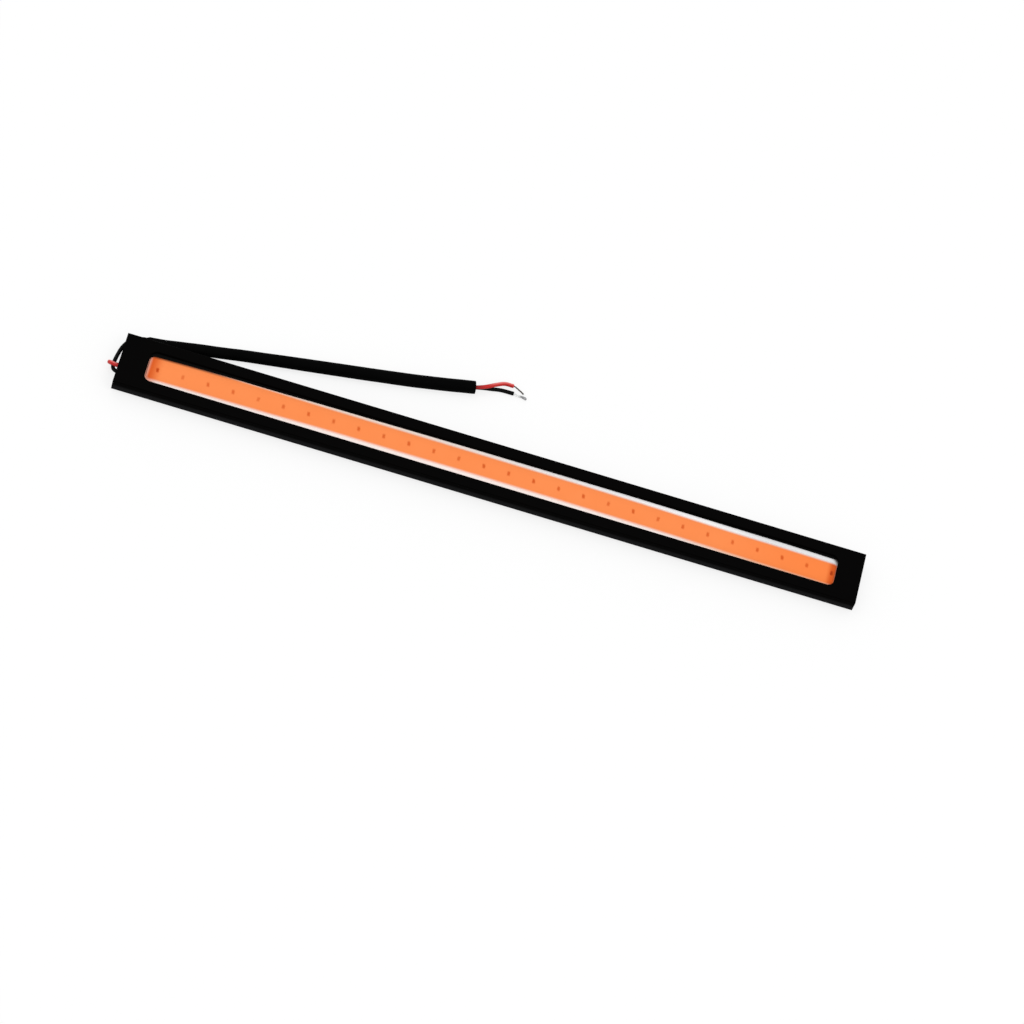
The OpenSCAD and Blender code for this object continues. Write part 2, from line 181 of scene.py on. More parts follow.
def swept(rings, closed_start=True, closed_end=True):
    """Points and faces of a tube through equal rings."""
    sides = len(rings[0])
    points = [p for ring in rings for p in ring]
    faces = []
    for i in range(len(rings) - 1):
        faces += ring_faces(i * sides, (i + 1) * sides, sides)
    if closed_start:
        faces.append(tuple(reversed(range(sides))))
    if closed_end:
        faces.append(tuple(range(len(points) - sides, len(points))))
    return points, faces


def round_ring(centre, u, w, a, b, sides):
    ring = []
    for k in range(sides):
        angle = 2 * math.pi * k / sides
        ring.append(centre + a * math.cos(angle) * u + b * math.sin(angle) * w)
    return ring


# Cords
JACKET_SIDES = 28
JACKET_UNEVENNESS = 0.02
# The cut end: how far each ring lies past the path's end, and its radius
JACKET_CUT = [(0.02, 0.435), (0.045, 0.39), (0.05, 0.33), (0.03, 0.25), (-0.3, 0.24)]
# The direction from the path in which each ring's first point lies
FIRST_SIDE = Vector((0, 0.6, 0.8))
STRAND_SIDES = 10
# The largest share of its length by which a strand is cut short
STRAND_SHORTENING = 0.24
# A strand's last ring: its share of the radius, and how many radii it lies past the path's end
STRAND_TIP = (0.5, 0.6)
# The blob's middle, as a share of the path back from its end
BLOB_PLACE = 0.14
BLOB_SIDES = 16
BLOB_RINGS = 10
BLOB_STRETCH = 1.3
BLOB_UNEVENNESS = 0.22
SLEEVE_SIDES = 48
# Depth of the sleeve's long dents and of its small ones
LONG_DENT = 0.03
SMALL_DENT = 0.013
# The near end's slant, and the length over which it fades out
MOUTH_SLANT = 1.6
MOUTH_REACH = 4.0
# Both lips: the share of the wall that each ring lies inwards, and how far it lies past the end
SLEEVE_LIP = [(0.15, 0.04), (0.5, 0.06), (0.85, 0.04)]
WIRE_SPACING = 0.4
SLEEVE_SPACING = 0.5
BARE_SPACING = 0.12
# Where the bare copper starts inside the jacket's bore, and how far it runs straight past the cut
BARE_DEPTH = 0.28
BARE_STRAIGHT = 0.25


def insulated_wire(name, path, seed):
    """A faintly uneven jacket, cut square at its far end with a bore left round the copper."""
    along = tangents(path)
    sides = carried_sides(along, FIRST_SIDE)
    rings = []
    for c, t, u in zip(path, along, sides):
        r = WIRE_R * (1 + JACKET_UNEVENNESS * noise.noise(0.9 * c + Vector((seed, 0, 0))))
        rings.append(round_ring(c, u, t.cross(u), r, r, JACKET_SIDES))
    end, t, u = path[-1], along[-1], sides[-1]
    for ahead, r in JACKET_CUT:
        rings.append(round_ring(end + ahead * t, u, t.cross(u), r, r, JACKET_SIDES))
    return mesh_piece(name, *swept(rings))


def copper_strands(name, path, count, strand_r, lay_r, turns, splay, blob=0):
    """Strands twisted round a path: they open out towards its end and may end in solder."""
    along = tangents(path)
    sides = carried_sides(along, FIRST_SIDE)
    last = len(path) - 1
    points, faces = [], []
    for k in range(count):
        short = STRAND_SHORTENING * abs(noise.noise(Vector((3.1 * k, 0.5, 0.2))))
        reach = last - round(last * short)
        rings = []
        for i in range(reach + 1):
            t, u = along[i], sides[i]
            w = t.cross(u)
            f = i / last
            angle = 2 * math.pi * (k / count + turns * f)
            out = lay_r * (1 + splay[k % len(splay)] * f * f)
            centre = path[i] + out * (math.cos(angle) * u + math.sin(angle) * w)
            centre.z = max(centre.z, strand_r + LIE_GAP)
            rings.append(round_ring(centre, u, w, strand_r, strand_r, STRAND_SIDES))
        middle = sum(rings[-1], Vector()) / STRAND_SIDES
        narrow, ahead = STRAND_TIP
        tip = middle + ahead * strand_r * along[reach]
        rings.append([tip + narrow * (p - middle) for p in rings[-1]])
        more_points, more_faces = swept(rings)
        faces += [tuple(i + len(points) for i in face) for face in more_faces]
        points += more_points
    if blob:
        solder_blob(points, faces, path[-round(BLOB_PLACE * len(path))], along[-1], blob)
    return mesh_piece(name, points, faces)


def solder_blob(points, faces, middle, ahead, size):
    """Adds a small uneven blob, drawn out along the wire, to a piece's points and faces."""
    u = ahead.cross(Vector((0, 0, 1))).normalized()
    w = u.cross(ahead)
    rings = []
    for i in range(1, BLOB_RINGS):
        angle = math.pi * i / BLOB_RINGS
        centre = middle - BLOB_STRETCH * size * math.cos(angle) * ahead
        ring = round_ring(
            centre, u, w, size * math.sin(angle), size * math.sin(angle), BLOB_SIDES)
        for p in ring:
            p += BLOB_UNEVENNESS * size * noise.noise(5 * p) * (p - middle).normalized()
            p.z = max(p.z, LIE_GAP)
        rings.append(ring)
    more_points, more_faces = swept(rings)
    faces += [tuple(i + len(points) for i in face) for face in more_faces]
    points += more_points


def sleeve_sizes(c):
    """Half width and half height of the sleeve, from the height of its middle above the surface."""
    b = c.z - LIE_GAP
    return PINCH_W + (SLEEVE_R - PINCH_W) * (b - PINCH_H) / (SLEEVE_R - PINCH_H), b


def soft_sleeve(name, path):
    """The hollow sleeve: it lies on the surface, with soft dents over the two wires inside."""
    along = tangents(path)
    outer, inner = [], []
    for c, t in zip(path, along):
        u = Vector((0, 0, 1)).cross(t).normalized()
        w = t.cross(u)
        a, b = sleeve_sizes(c)
        ring = round_ring(c, u, w, a, b, SLEEVE_SIDES)
        for p in ring:
            dent = LONG_DENT * noise.noise(Vector((0.16 * p.x, 0.4 * p.y, 0.5 * p.z)))
            dent += SMALL_DENT * noise.noise(Vector((0.7 * p.x, 0.9 * p.y, 1.1 * p.z + 7)))
            p += dent * (p - c).normalized()
            p.z = max(p.z, 0.5 * LIE_GAP)
        outer.append(ring)
        inner.append(round_ring(c, u, w, a - SLEEVE_WALL, b - SLEEVE_WALL, SLEEVE_SIDES))
    # The near end is cut at a slant: its far side starts further on
    for c, t, ring, bore in zip(path, along, outer, inner):
        share = 1 - (c - path[0]).length / MOUTH_REACH
        if share > 0:
            side = Vector((0, 0, 1)).cross(t).normalized()
            for p in ring + bore:
                p += MOUTH_SLANT * share * max(0, (p - c).dot(side) / PINCH_W) * t
    lip, mouth = [], []
    for share, ahead in SLEEVE_LIP:
        lip.append([p.lerp(q, share) + ahead * along[-1] for p, q in zip(outer[-1], inner[-1])])
        mouth.append([p.lerp(q, share) - ahead * along[0] for p, q in zip(outer[0], inner[0])])
    mouth.reverse()
    rings = outer + lip + inner[::-1] + mouth
    points, faces = swept(rings, False, False)
    faces += ring_faces((len(rings) - 1) * SLEEVE_SIDES, 0, SLEEVE_SIDES)
    return mesh_piece(name, points, faces)


red_path = smooth_path(
    lead_points(RED_PLUG + RED_LOOP) + paired(1) + lead_points(RED_TAIL), WIRE_SPACING)
black_path = smooth_path(
    lead_points(BLACK_PLUG + BLACK_LOOP) + paired(-1) + lead_points(BLACK_TAIL), WIRE_SPACING)
sleeve_path = smooth_path(lead_points(SLEEVE_ROUTE), SLEEVE_SPACING)


def bare_path(tail, bare):
    """The copper's path: it starts inside the bore of the cut jacket."""
    before, last = lead_points(tail[-2:])
    ahead = (last - before).normalized()
    start = [last - BARE_DEPTH * ahead, last + BARE_STRAIGHT * ahead]
    return smooth_path(start + lead_points(bare), BARE_SPACING)


red_jacket = insulated_wire("red_jacket", red_path, 0)
black_jacket = insulated_wire("black_jacket", black_path, 20)
red_tip = copper_strands(
    "red_tip", bare_path(RED_TAIL, RED_BARE), count=3, strand_r=0.085, lay_r=0.09, turns=2.2,
    splay=(0.2, 0.6, 0))
black_tip = copper_strands(
    "black_tip", bare_path(BLACK_TAIL, BLACK_BARE), count=9, strand_r=0.07, lay_r=0.18, turns=0.7,
    splay=(0.1, 0.9, 0.3, 0.5, -0.2), blob=0.3)
sleeve_tube = soft_sleeve("sleeve_tube", sleeve_path)

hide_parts("red_wire")
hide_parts("black_wire")
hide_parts("red_strand")
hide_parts("black_strands")
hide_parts("sleeve")
for piece in (red_jacket, black_jacket, red_tip, black_tip, sleeve_tube):
    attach(piece, "root")


# The seal's inner edge: x along the bar, then its far and its near side, in millimetres
SEAL_EDGES = [
    (-77.5, 2.95, -3.99), (-66, 3.27, -3.99), (-50, 3.38, -3.99), (-40, 3.55, -3.99),
    (-25, 3.64, -3.99), (-10, 3.76, -3.99), (26, 3.84, -3.99), (40, 3.76, -3.99),
    (55, 3.64, -3.99), (66, 3.57, -3.99), (72, 3.47, -3.99), (78, 3.33, -3.99),
]


def edge_row(keys, x):
    """The row at x between the closest two keys."""
    k = 0
    while k < len(keys) - 2 and keys[k + 1].x < x:
        k += 1
    share = min(1, max(0, (x - keys[k].x) / (keys[k + 1].x - keys[k].x)))
    return keys[k].lerp(keys[k + 1], share)


seal_keys = smooth_path([Vector(key) for key in SEAL_EDGES], 1.0)


def seal_edge(x, side):
    row = edge_row(seal_keys, x)
    return row.y if side > 0 else row.z


# Phosphor: x along the bar, then the far and the near edge across it, in millimetres
PHOSPHOR_EDGES = [
    (-78.7, 3.5, -2.98), (-69, 3.42, -2.87), (-60, 3.34, -2.82), (-50, 3.24, -2.72),
    (-40, 3.11, -2.55), (-25, 3.05, -2.52), (0, 3.03, -2.5), (26, 2.94, -2.66),
    (40, 2.76, -2.82), (55, 2.45, -3.07), (66, 2.36, -3.3), (79.9, 2.16, -3.5),
]
PHOSPHOR_SKIRT = 0.35
PHOSPHOR_CORNER = 1.3
PHOSPHOR_CROWN = 0.25
PHOSPHOR_SHOULDER = 0.06
PHOSPHOR_LEAST = 0.004
PHOSPHOR_WAVE = 0.006
DIE_BUMP = 0.012
# Length along the bar and across it over which the bump above a die fades
DIE_BUMP_REACH = (0.5, 0.7)
# Length over which the bead rises at both ends
PHOSPHOR_RISE = 0.5
PHOSPHOR_STEP = 0.25
PHOSPHOR_ACROSS = 36
# Both ends get this share of the length and this many finer steps, for round corners
PHOSPHOR_END = 0.02
PHOSPHOR_END_STEPS = 12


def phosphor_edges():
    """The far and near edge at even steps along the strip."""
    keys = smooth_path([Vector(key) for key in PHOSPHOR_EDGES], 0.5)
    x0, x1 = keys[0].x, keys[-1].x
    length = x1 - x0
    steps = round(length / PHOSPHOR_STEP)
    fine = PHOSPHOR_END_STEPS
    places = [
        x0 + length * (0.5 - 0.5 * math.cos(math.pi * i / fine)) * PHOSPHOR_END
        for i in range(fine)
    ]
    places += [
        x0 + PHOSPHOR_END * length + length * (1 - 2 * PHOSPHOR_END) * i / steps
        for i in range(steps)
    ]
    places += [x1 + x0 - x for x in reversed(places[:fine])]
    rows = []
    for x in places:
        row = edge_row(keys, x)
        depth = min(x - x0, x1 - x, PHOSPHOR_CORNER)
        pull = PHOSPHOR_CORNER - math.sqrt(PHOSPHOR_CORNER ** 2 - (PHOSPHOR_CORNER - depth) ** 2)
        rows.append(Vector((x, row.y + PHOSPHOR_SKIRT - pull, row.z - PHOSPHOR_SKIRT + pull)))
    return rows


def die_line_y(x):
    return DIE_LINE_Y + DIE_LINE_SLOPE * x + DIE_LINE_BOW * x * x


def phosphor_piece():
    """The poured phosphor: a low crown with soft edges, faintly raised over each die."""
    rows = phosphor_edges()
    x0, x1 = rows[0].x, rows[-1].x
    points, faces, edge_distance, seal_distance = [], [], [], []
    across = PHOSPHOR_ACROSS
    count = across + 1
    for row in rows:
        half = (row.y - row.z) / 2
        middle = (row.y + row.z) / 2
        end = min(row.x - x0, x1 - row.x)
        rise = min(1, end / PHOSPHOR_RISE)
        for j in range(count):
            v = -math.cos(math.pi * j / across)
            y = middle + half * v
            side = half * (1 - abs(v))
            low = min(1, side / (2 * PHOSPHOR_SKIRT)) ** 2 * (2 - rise) * rise
            shape = math.sqrt(max(0, 1 - (1 - low) ** 2))
            crown = (
                PHOSPHOR_SHOULDER + (PHOSPHOR_CROWN - PHOSPHOR_SHOULDER) * (1 - v * v) ** 0.7)
            die = round((row.x - FIRST_DIE_X) / DIE_PITCH)
            dx = row.x - FIRST_DIE_X - die * DIE_PITCH
            dy = y - die_line_y(row.x)
            along, over = DIE_BUMP_REACH
            bump = DIE_BUMP * math.exp(-(dx / along) ** 2 - (dy / over) ** 2)
            wave = PHOSPHOR_WAVE * noise.noise(Vector((0.22 * row.x, 0.5 * y, 0)))
            height = max(PHOSPHOR_LEAST, shape * (crown + bump + wave))
            points.append(Vector((row.x, y, BOARD_TOP + height)))
            edge_distance.append(min(side, end))
            seal_distance.append(seal_edge(row.x, 1) - y)
    for i in range(len(rows) - 1):
        for j in range(across):
            a = i * count + j
            faces.append((a, a + count, a + count + 1, a + 1))
    top = len(points)
    for row in rows:
        points.append(Vector((row.x, row.z, BOARD_TOP)))
        points.append(Vector((row.x, row.y, BOARD_TOP)))
    for i in range(len(rows) - 1):
        near, far = top + 2 * i, top + 2 * i + 1
        faces.append((near, far, far + 2, near + 2))
        faces.append((i * count, near, near + 2, (i + 1) * count))
        faces.append((i * count + across, (i + 1) * count + across, far + 2, far))
    # Both end faces
    last, end = (len(rows) - 1) * count, top + 2 * (len(rows) - 1)
    faces.append(tuple(range(count)) + (top + 1, top))
    faces.append(tuple(reversed(range(last, last + count))) + (end, end + 1))
    piece = mesh_piece("phosphor", points, faces)
    for name, values in (("edge_distance", edge_distance), ("seal_distance", seal_distance)):
        layer = piece.data.attributes.new(name, "FLOAT", "POINT")
        for i, value in enumerate(values):
            layer.data[i].value = value
    return piece


phosphor = phosphor_piece()
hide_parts("phosphor_strip")
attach(phosphor, "root")


SEAL_X0 = WINDOW_X0 - 0.15
SEAL_X1 = WINDOW_X1 + 0.75
SEAL_BAR = 1.1
SEAL_HALF_W = 5.25
SEAL_CORNER = 1.5
SEAL_OUTER_CORNER = 0.6
SEAL_CORNER_STEPS = 12
SEAL_SIDE_STEPS = 100


def seal_piece():
    """The bead of sealant under the lit face: a frame whose inner edge wanders a little."""
    inner, outer = [], []
    # Each corner's place along the bar, its way along it, its side and its first angle
    corners = [
        (SEAL_X0, -1, 1, 180), (SEAL_X1, 1, 1, 90), (SEAL_X1, 1, -1, 0), (SEAL_X0, -1, -1, 270),
    ]
    for end_x, way, side, first in corners:
        y = seal_edge(end_x, side)
        for i in range(SEAL_CORNER_STEPS + 1):
            angle = math.radians(first - 90 * i / SEAL_CORNER_STEPS)
            turn_x, turn_y = math.cos(angle), math.sin(angle)
            x0, y0 = end_x - way * SEAL_CORNER, y - side * SEAL_CORNER
            inner.append((x0 + SEAL_CORNER * turn_x, y0 + SEAL_CORNER * turn_y))
            x0 = end_x + way * (SEAL_BAR - SEAL_OUTER_CORNER)
            y0 = side * (SEAL_HALF_W - SEAL_OUTER_CORNER)
            outer.append((x0 + SEAL_OUTER_CORNER * turn_x, y0 + SEAL_OUTER_CORNER * turn_y))
        # The long side that follows the corner
        if way == -side:
            start = end_x - way * SEAL_CORNER
            stop = (SEAL_X1 if way < 0 else SEAL_X0) + way * SEAL_CORNER
            for i in range(1, SEAL_SIDE_STEPS):
                x = start + (stop - start) * i / SEAL_SIDE_STEPS
                inner.append((x, seal_edge(x, side)))
                outer.append((x, side * SEAL_HALF_W))
    points, faces = [], []
    count = len(inner)
    loops = [(inner, BOARD_TOP), (outer, BOARD_TOP), (outer, FACE_UNDER), (inner, FACE_UNDER)]
    for loop, z in loops:
        points += [Vector((x, y, z)) for x, y in loop]
    for k in range(count):
        n = (k + 1) % count
        for a in range(len(loops)):
            b = (a + 1) % len(loops)
            faces.append((a * count + k, b * count + k, b * count + n, a * count + n))
    return mesh_piece("seal_bead", points, faces, smooth=False)


seal_bead = seal_piece()
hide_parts("seal")
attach(seal_bead, "root")


# Materials
class Finish:
    """A principled material with short calls for the nodes that vary it."""

    def __init__(self, name, colour, roughness, **sockets):
        self.material = bpy.data.materials.new(name)
        self.material.use_nodes = True
        self.tree = self.material.node_tree
        self.shader = self.tree.nodes["Principled BSDF"]
        self.shader.inputs["Base Color"].default_value = (*colour, 1)
        self.shader.inputs["Roughness"].default_value = roughness
        for socket, value in sockets.items():
            self.shader.inputs[socket.replace("_", " ")].default_value = value
        self.place = self.tree.nodes.new("ShaderNodeTexCoord").outputs["Object"]

    def link(self, source, target):
        self.tree.links.new(source, target)

    def math(self, operation, *values, clamp=False):
        node = self.tree.nodes.new("ShaderNodeMath")
        node.operation = operation
        node.use_clamp = clamp
        for socket, value in zip(node.inputs, values):
            if isinstance(value, (int, float)):
                socket.default_value = value
            else:
                self.link(value, socket)
        return node.outputs[0]

    def fade(self, value, start, stop, low=0.0, high=1.0):
        """Goes smoothly from low at start to high at stop."""
        node = self.tree.nodes.new("ShaderNodeMapRange")
        node.interpolation_type = "SMOOTHSTEP"
        self.link(value, node.inputs["Value"])
        limits = {"From Min": start, "From Max": stop, "To Min": low, "To Max": high}
        for socket, number in limits.items():
            node.inputs[socket].default_value = number
        return node.outputs["Result"]

    def noise(self, scale, detail=2.0, stretch=(1, 1, 1), roughness=0.5):
        """Noise over the part, with its scale in features per metre."""
        shift = self.tree.nodes.new("ShaderNodeMapping")
        shift.inputs["Scale"].default_value = stretch
        self.link(self.place, shift.inputs["Vector"])
        node = self.tree.nodes.new("ShaderNodeTexNoise")
        node.inputs["Scale"].default_value = scale
        node.inputs["Detail"].default_value = detail
        node.inputs["Roughness"].default_value = roughness
        self.link(shift.outputs["Vector"], node.inputs["Vector"])
        return node.outputs["Fac"]

    def mix(self, share, first, second):
        node = self.tree.nodes.new("ShaderNodeMix")
        node.data_type = "RGBA"
        self.link(share, node.inputs["Factor"])
        for socket, value in ((node.inputs[6], first), (node.inputs[7], second)):
            if isinstance(value, tuple):
                socket.default_value = (*value, 1)
            else:
                self.link(value, socket)
        return node.outputs[2]

    def colour(self, source):
        self.link(source, self.shader.inputs["Base Color"])

    def roughness(self, source):
        self.link(source, self.shader.inputs["Roughness"])

    def bump(self, *heights):
        """Each height is a source, its depth in metres and the strength that it shows at."""
        normal = None
        for source, distance, strength in heights:
            node = self.tree.nodes.new("ShaderNodeBump")
            node.inputs["Distance"].default_value = distance
            node.inputs["Strength"].default_value = strength
            self.link(source, node.inputs["Height"])
            if normal is not None:
                self.link(normal, node.inputs["Normal"])
            normal = node.outputs["Normal"]
        self.link(normal, self.shader.inputs["Normal"])

    def axis(self, name):
        """The part's X, Y or Z in millimetres."""
        split = self.tree.nodes.new("ShaderNodeSeparateXYZ")
        self.link(self.place, split.inputs[0])
        return self.math("MULTIPLY", split.outputs[name], 1 / MM)

    def facing(self, direction):
        """How far the surface faces a direction: 1 where it faces it squarely."""
        node = self.tree.nodes.new("ShaderNodeVectorMath")
        node.operation = "DOT_PRODUCT"
        node.inputs[1].default_value = direction
        geometry = self.tree.nodes.new("ShaderNodeNewGeometry")
        self.link(geometry.outputs["Normal"], node.inputs[0])
        return node.outputs["Value"]

    def kept(self, name):
        """A value that the mesh keeps for each of its points."""
        node = self.tree.nodes.new("ShaderNodeAttribute")
        node.attribute_name = name
        return node.outputs["Fac"]


def anodised_black():
    finish = Finish("anodised_black", (0.001, 0.001, 0.001), 0.5, Specular_IOR_Level=0.015)
    drawn = finish.noise(5000, 3, (0.02, 1, 1))
    grain = finish.noise(9000, 2)
    patch = finish.noise(120, 3)
    face = finish.mix(patch, (0.0007, 0.0006, 0.0006), (0.0011, 0.0009, 0.0009))
    # The side walls are duller than the face, and a little paler along their lower part: painted
    # light reflected from the white floor
    low = finish.fade(finish.axis("Z"), BODY_BOTTOM + 2.2, BODY_BOTTOM + 1.1)
    finish.colour(finish.mix(low, face, (0.0084, 0.0084, 0.0089)))
    side = finish.math("ABSOLUTE", finish.facing((0, 1, 0)))
    dull = finish.fade(side, 0.4, 0.9, 0.015, 0.004)
    finish.link(dull, finish.shader.inputs["Specular IOR Level"])
    finish.roughness(finish.fade(drawn, 0.3, 0.7, 0.44, 0.56))
    finish.bump((drawn, 0.000002, 0.2), (grain, 0.000004, 0.3))
    return finish.material


def seal_rubber():
    finish = Finish("seal_rubber", (0.002, 0.002, 0.002), 0.8, Specular_IOR_Level=0.05)
    finish.bump((finish.noise(3000, 3), 0.00001, 0.3))
    return finish.material


def rim_tint(finish, white):
    """White tinted warm all along the near side, partly by a trace of phosphor and partly as painted
    orange reflection from it, and towards the lead's end; painted shade greys the far side at the
    plain end and darkens both far corners.
    """
    x, y = finish.axis("X"), finish.axis("Y")
    near = finish.mix(finish.fade(x, 40.0, 60.0), (1.0, 0.86, 0.81), (1.0, 0.64, 0.46))
    far = finish.mix(finish.fade(x, 30.0, -35.0, 0.0, 0.9), white, (1.0, 0.8, 0.68))
    # Painted shade: the far side greys a little towards the plain end, where the far wall shades it
    far = finish.mix(finish.fade(x, 46.0, 66.0), far, (0.8, 0.8, 0.805))
    rim = finish.mix(finish.fade(y, -1.0, -2.0), far, near)
    rim = finish.mix(finish.fade(x, WINDOW_X0 + 3.4, WINDOW_X0 + 0.6), rim, (0.93, 0.42, 0.3))
    # Painted shadow darkens both far corners of the window
    left = finish.fade(finish.math("SUBTRACT", y, x), 1.4 - WINDOW_X0, 2.8 - WINDOW_X0, 0.0, 0.85)
    right = finish.fade(finish.math("ADD", y, x), 1.7 + WINDOW_X1, 3.0 + WINDOW_X1, 0.0, 0.95)
    return finish.mix(finish.math("ADD", left, right), rim, (0.06, 0.035, 0.03))


def white_mask():
    """Solder mask: an even white with faint cloudiness and the fine orange peel of a cured coat."""
    finish = Finish("white_mask", (0.95, 0.94, 0.945), 0.45, Specular_IOR_Level=0.4)
    cloud = finish.noise(220, 3)
    mask = finish.mix(cloud, (0.99, 0.975, 0.98), (0.95, 0.935, 0.94))
    finish.colour(rim_tint(finish, mask))
    finish.bump((finish.noise(2600, 2), 0.000006, 0.3))
    return finish.material


# The mark over a die: the distance from its middle, along and across the bar, at which it starts
# to show and at which it is full
MARK_ALONG = (0.5, 0.12)
MARK_ACROSS = (0.85, 0.2)
# The least strength of a mark near the lead's end and further on, and what is added to it
MARK_NEAR_LEAD = 0.48
MARK_FURTHER_ON = 0.63
MARK_BY_CHANCE = 0.22
MARK_AT_ENDS = 0.4


def die_marks(finish, x, y):
    """How strongly a mark shows: a ragged, slanted stroke over each die, of varying strength."""
    steps = finish.math("DIVIDE", finish.math("SUBTRACT", x, FIRST_DIE_X), DIE_PITCH)
    die = finish.math("ROUND", steps)
    off_x = finish.math("MULTIPLY", finish.math("SUBTRACT", steps, die), DIE_PITCH)
    bow = finish.math("MULTIPLY_ADD", x, DIE_LINE_BOW, DIE_LINE_SLOPE)
    line = finish.math("MULTIPLY_ADD", x, bow, DIE_LINE_Y)
    off_y = finish.math("SUBTRACT", y, line)
    chance = finish.tree.nodes.new("ShaderNodeTexWhiteNoise")
    chance.noise_dimensions = "1D"
    finish.link(die, chance.inputs["W"])
    luck = chance.outputs["Value"]
    ragged = finish.math("MULTIPLY_ADD", finish.noise(2600, 2), 0.3, -0.15)
    slant = finish.math("MULTIPLY", off_y, finish.math("MULTIPLY_ADD", luck, 0.2, -0.03))
    wide = finish.math("ABSOLUTE", finish.math("ADD", finish.math("ADD", off_x, slant), ragged))
    long = finish.math("ABSOLUTE", finish.math("ADD", off_y, ragged))
    core = finish.math("MULTIPLY", finish.fade(wide, *MARK_ALONG), finish.fade(long, *MARK_ACROSS))
    # The marks are faintest near the lead's end, but those over both end dies are the strongest
    least = finish.fade(x, -72.0, -10.0, MARK_NEAR_LEAD, MARK_FURTHER_ON)
    end_dies = finish.fade(finish.math("ABSOLUTE", x), 74.0, 76.0, 0.0, MARK_AT_ENDS)
    strength = finish.math("MULTIPLY_ADD", luck, MARK_BY_CHANCE, finish.math("ADD", least, end_dies))
    return finish.math("MULTIPLY", core, strength, clamp=True)


def phosphor_gel():
    """Orange silicone: deeper at both ends, partly in painted shade, pale where its edges thin,
    darker over each die, and in painted shade along the far edge towards the lead's end.
    """
    finish = Finish("phosphor_gel", (0.93, 0.257, 0.074), 0.5, Specular_IOR_Level=0.1)
    x, y = finish.axis("X"), finish.axis("Y")
    thin = finish.fade(finish.kept("edge_distance"), 2.4 * PHOSPHOR_SKIRT, 0.0)
    # Painted shade, in part: the window's end walls shade both ends of the phosphor
    left = finish.fade(x, WINDOW_X0 + 3.7, WINDOW_X0 + 0.7)
    right = finish.fade(x, WINDOW_X1 - 2.2, WINDOW_X1 - 0.7)
    deep = finish.math("ADD", left, right, clamp=True)
    cloud = finish.noise(160, 3)
    # Faintly cloudy, a little redder towards the plain end, and deep orange at the window's ends,
    # partly as painted shade from the window's end walls
    body = finish.mix(cloud, (0.92, 0.245, 0.067), (0.94, 0.268, 0.08))
    body = finish.mix(finish.fade(x, 48.0, 76.0), body, (0.93, 0.228, 0.053))
    body = finish.mix(finish.math("MULTIPLY", deep, 0.95), body, (0.7, 0.1, 0.01))
    mark = finish.mix(deep, (0.6, 0.065, 0.001), (0.4, 0.04, 0.001))
    body = finish.mix(die_marks(finish, x, y), body, mark)
    body = finish.mix(thin, body, rim_tint(finish, (0.98, 0.96, 0.95)))
    # Painted shade: the far wall's shadow darkens the far side towards the lead's end
    by_seal = finish.fade(finish.kept("seal_distance"), 0.7, 0.0, 0.0, 0.85)
    far_wall_shade = finish.math("MULTIPLY", by_seal, finish.fade(x, -56.0, -66.0))
    finish.colour(finish.mix(far_wall_shade, body, (0.12, 0.03, 0.012)))
    finish.bump((finish.noise(1400, 3), 0.000012, 0.25))
    return finish.material


def plain_finish(name, colour, roughness, scale, depth, **sockets):
    """A finish with fine bump, of that scale in features per metre and depth in metres, and with
    a faint change of colour and roughness."""
    finish = Finish(name, colour, roughness, **sockets)
    gloss = finish.noise(scale / 6, 2)
    finish.roughness(finish.fade(gloss, 0.3, 0.7, roughness - 0.06, roughness + 0.06))
    darker = tuple(c * 0.8 for c in colour)
    lighter = tuple(min(1, c * 1.12) for c in colour)
    finish.colour(finish.mix(finish.noise(scale / 10, 3), darker, lighter))
    finish.bump((finish.noise(scale, 3), depth, 0.35))
    return finish.material


def foam():
    """Closed-cell foam: small round cells cut open."""
    finish = Finish("foam", (0.05, 0.05, 0.052), 0.9, Specular_IOR_Level=0.2)
    cells = finish.tree.nodes.new("ShaderNodeTexVoronoi")
    cells.inputs["Scale"].default_value = 4500
    finish.link(finish.place, cells.inputs["Vector"])
    # Painted shade: the open cells are darker in their hollows
    pit = finish.fade(cells.outputs["Distance"], 0.0, 0.5)
    finish.colour(finish.mix(pit, (0.03, 0.03, 0.031), (0.085, 0.085, 0.088)))
    finish.bump((pit, 0.00008, 0.6))
    return finish.material


def tinned_copper():
    """Bright strands that end in dull grey solder."""
    finish = Finish("tinned_copper", (0.78, 0.78, 0.79), 0.42, Metallic=1.0)
    blob_start, blob_full = (LEAD_END + x for x, y, z in BLACK_BARE[:2])
    dull = finish.fade(finish.axis("X"), blob_start + 0.1, blob_full)
    finish.colour(finish.mix(dull, (0.8, 0.81, 0.8), (0.34, 0.34, 0.35)))
    finish.bump((finish.noise(4000, 3), 0.00001, 0.35))
    return finish.material


